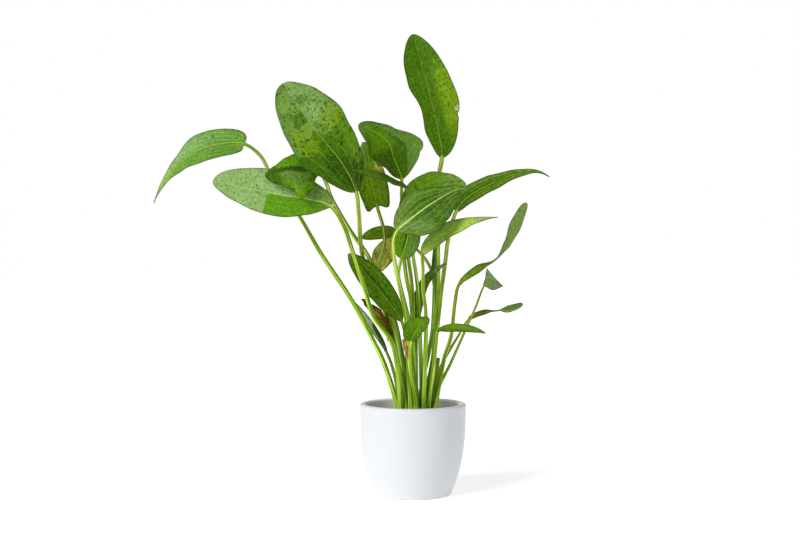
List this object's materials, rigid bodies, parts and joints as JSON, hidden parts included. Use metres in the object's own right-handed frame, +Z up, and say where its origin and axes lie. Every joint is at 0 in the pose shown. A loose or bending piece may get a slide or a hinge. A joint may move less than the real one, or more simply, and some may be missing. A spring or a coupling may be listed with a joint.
{
  "type": "potted echinodorus",
  "caption": "Emersed sword plant with broad speckled leaves on long stalks, growing from one crown in a small round white glazed pot with a plain rim.",
  "frame": {"origin": "middle of the pot's flat bottom, on the surface it stands on", "axes": "+Z up along the pot's axis; -Y towards the side the picture shows; +X to that side's right"},
  "size_m": [0.2908, 0.0888, 0.3334],
  "materials": {
    "glazed_ceramic": "satin white glaze",
    "growing_medium": "dark loose granules",
    "crown_skin": "fibrous, yellow-green to brown",
    "stalk_green": "smooth yellow-green",
    "leaf_green": "satin green with dark speckles",
    "leaf_dark": "satin dark green with speckles",
    "leaf_yellow": "yellowing with brown patches",
    "leaf_dry": "dry, brown and crinkled"
  },
  "bodies": {
    "root": {"pot": "glazed_ceramic", "soil": "growing_medium", "crown": "crown_skin", "leaf_top_blade": "leaf_green", "leaf_top_stalk": "stalk_green", "leaf_upper_left_blade": "leaf_green", "leaf_upper_left_stalk": "stalk_green", "leaf_far_left_blade": "leaf_green", "leaf_far_left_stalk": "stalk_green", "leaf_mid_left_blade": "leaf_green", "leaf_mid_left_stalk": "stalk_green", "leaf_folded_blade": "leaf_green", "leaf_folded_stalk": "stalk_green", "leaf_cupped_blade": "leaf_green", "leaf_cupped_stalk": "stalk_green", "leaf_inner_left_blade": "leaf_green", "leaf_inner_left_stalk": "stalk_green", "leaf_edge_on_blade": "leaf_dark", "leaf_edge_on_stalk": "stalk_green", "leaf_front_center_blade": "leaf_green", "leaf_front_center_stalk": "stalk_green", "leaf_behind_center_blade": "leaf_green", "leaf_behind_center_stalk": "stalk_green", "leaf_far_right_blade": "leaf_green", "leaf_far_right_stalk": "stalk_green", "leaf_mid_right_blade": "leaf_green", "leaf_mid_right_stalk": "stalk_green", "leaf_twisted_blade": "leaf_green", "leaf_twisted_stalk": "stalk_green", "leaf_fan_blade": "leaf_green", "leaf_fan_stalk": "stalk_green", "leaf_low_right_blade": "leaf_green", "leaf_low_right_stalk": "stalk_green", "leaf_low_front_right_blade": "leaf_green", "leaf_low_front_right_stalk": "stalk_green", "leaf_hanging_blade": "leaf_dark", "leaf_hanging_stalk": "stalk_green", "leaf_dry_rolled_blade": "leaf_dry", "leaf_dry_rolled_stalk": "stalk_green", "leaf_low_left_blade": "leaf_dark", "leaf_low_left_stalk": "stalk_green", "leaf_low_front_blade": "leaf_green", "leaf_low_front_stalk": "stalk_green", "leaf_yellowing_blade": "leaf_yellow", "leaf_yellowing_stalk": "stalk_green", "leaf_dark_back_blade": "leaf_dark", "leaf_dark_back_stalk": "stalk_green", "leaf_under_center_blade": "leaf_green", "leaf_under_center_stalk": "stalk_green", "leaf_narrow_inner_blade": "leaf_green", "leaf_narrow_inner_stalk": "stalk_green", "leaf_narrow_back_blade": "leaf_dark", "leaf_narrow_back_stalk": "stalk_green", "cut_stalk": "stalk_green"}
  },
  "joints": []
}
